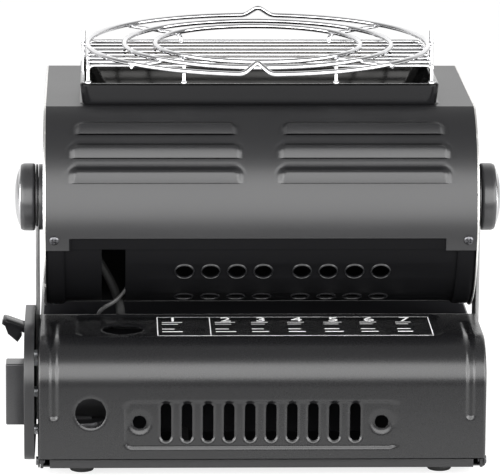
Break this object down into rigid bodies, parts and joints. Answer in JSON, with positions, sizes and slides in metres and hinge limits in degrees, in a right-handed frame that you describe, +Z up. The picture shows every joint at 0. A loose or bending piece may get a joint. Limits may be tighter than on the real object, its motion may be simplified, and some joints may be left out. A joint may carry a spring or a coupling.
{
  "type": "portable gas heater",
  "caption": "Tabletop gas cartridge heater and cooker: slotted lid base, tilting louvred head with mirror reflector, wire guard, pot rings, lock knobs and side controls.",
  "frame": {"origin": "centre of the bounding box's base, on the plane the feet stand on", "axes": "+X along the casing towards its plain end with no control panel, +Y from the lid's slotted face to the back, +Z up"},
  "size_m": [0.298, 0.225, 0.2461],
  "materials": {
    "black_enamel": "semi-matte black stoved enamel",
    "dark_enamel": "matte black enamel on inner panels",
    "lid_enamel": "satin black enamel",
    "wire_chrome": "bright chrome-plated wire",
    "polished_steel": "polished steel, slightly smoked",
    "zinc_steel": "zinc-plated steel",
    "screw_steel": "blackened steel",
    "cast_alloy": "die-cast, sand-blasted",
    "brass": "turned brass",
    "ceramic": "fired ceramic",
    "black_plastic": "moulded heat-resistant plastic",
    "cap_chrome": "dark chrome-plated cap",
    "rubber": "black rubber",
    "lead_jacket": "silicone-jacketed lead"
  },
  "bodies": {
    "base": {"base_pan": "black_enamel", "feet": "rubber", "rear_housing": "black_enamel", "divider_wall": "dark_enamel", "left_end_plate": "dark_enamel", "right_end_plate": "dark_enamel", "lid_hinge_pins": "screw_steel", "left_arm": "black_enamel", "right_arm": "black_enamel", "arm_screws": "screw_steel", "cartridge_cradle": "zinc_steel", "gas_regulator": "cast_alloy", "diaphragm_cover": "cast_alloy", "igniter_unit": "black_plastic", "control_panel": "black_enamel", "panel_standoffs": "zinc_steel", "lever_pin": "zinc_steel", "hose_grommet": "rubber", "gas_hose": "rubber", "igniter_lead": "lead_jacket"},
    "head": {"head_shell": "black_enamel", "head_screws": "screw_steel", "head_rear_cover": "black_enamel", "head_end_left": "black_enamel", "head_end_right": "black_enamel", "lower_air_panel": "dark_enamel", "reflector": "polished_steel", "ceramic_plaque": "ceramic", "burner_box": "zinc_steel", "mixing_tube": "zinc_steel", "gas_injector": "brass", "injector_bracket": "zinc_steel", "ignition_electrode": "ceramic", "flame_sensor": "ceramic", "guard_grill": "wire_chrome", "pot_rings": "wire_chrome", "pivot_bushes": "zinc_steel"},
    "left_lock_knob": {"left_knob_grip": "black_plastic", "left_knob_cap": "cap_chrome", "left_knob_stud": "zinc_steel"},
    "right_lock_knob": {"right_knob_grip": "black_plastic", "right_knob_cap": "cap_chrome", "right_knob_stud": "zinc_steel"},
    "cartridge_lid": {"cartridge_lid": "lid_enamel"},
    "gas_knob": {"gas_knob_grip": "black_plastic", "gas_knob_shaft": "zinc_steel"},
    "lock_lever": {"lock_lever": "black_enamel"},
    "nozzle_carriage": {"valve_nozzle": "brass", "lock_plate": "zinc_steel"}
  },
  "joints": [
    {"name": "head_tilt", "type": "hinge", "parent": "base", "child": "head", "pos_m": [0.0035, -0.0195, 0.1486], "axis": [1, 0, 0], "range_deg": [0, 80], "deforming": ["gas_hose", "igniter_lead"]},
    {"name": "left_knob_turn", "type": "hinge", "parent": "head", "child": "left_lock_knob", "pos_m": [-0.1315, -0.0195, 0.1486], "axis": [-1, 0, 0], "range_deg": [0, 180]},
    {"name": "right_knob_turn", "type": "hinge", "parent": "head", "child": "right_lock_knob", "pos_m": [0.1385, -0.0195, 0.1486], "axis": [1, 0, 0], "range_deg": [0, 180]},
    {"name": "lid_hinge", "type": "hinge", "parent": "base", "child": "cartridge_lid", "pos_m": [0.0035, -0.1035, 0.0085], "axis": [1, 0, 0], "range_deg": [0, 78]},
    {"name": "gas_knob_turn", "type": "hinge", "parent": "base", "child": "gas_knob", "pos_m": [-0.1355, -0.0715, 0.042], "axis": [-1, 0, 0], "range_deg": [0, 90]},
    {"name": "lever_press", "type": "hinge", "parent": "base", "child": "lock_lever", "pos_m": [-0.132, -0.0715, 0.08], "axis": [0, -1, 0], "range_deg": [0, 17]},
    {"name": "nozzle_slide", "type": "slide", "parent": "base", "child": "nozzle_carriage", "axis": [1, 0, 0], "range_m": [0, 0.00537]}
  ],
  "couplings": [
    {"joint": "lever_press", "follows": "nozzle_slide", "rad_per_m": 48.78}
  ]
}
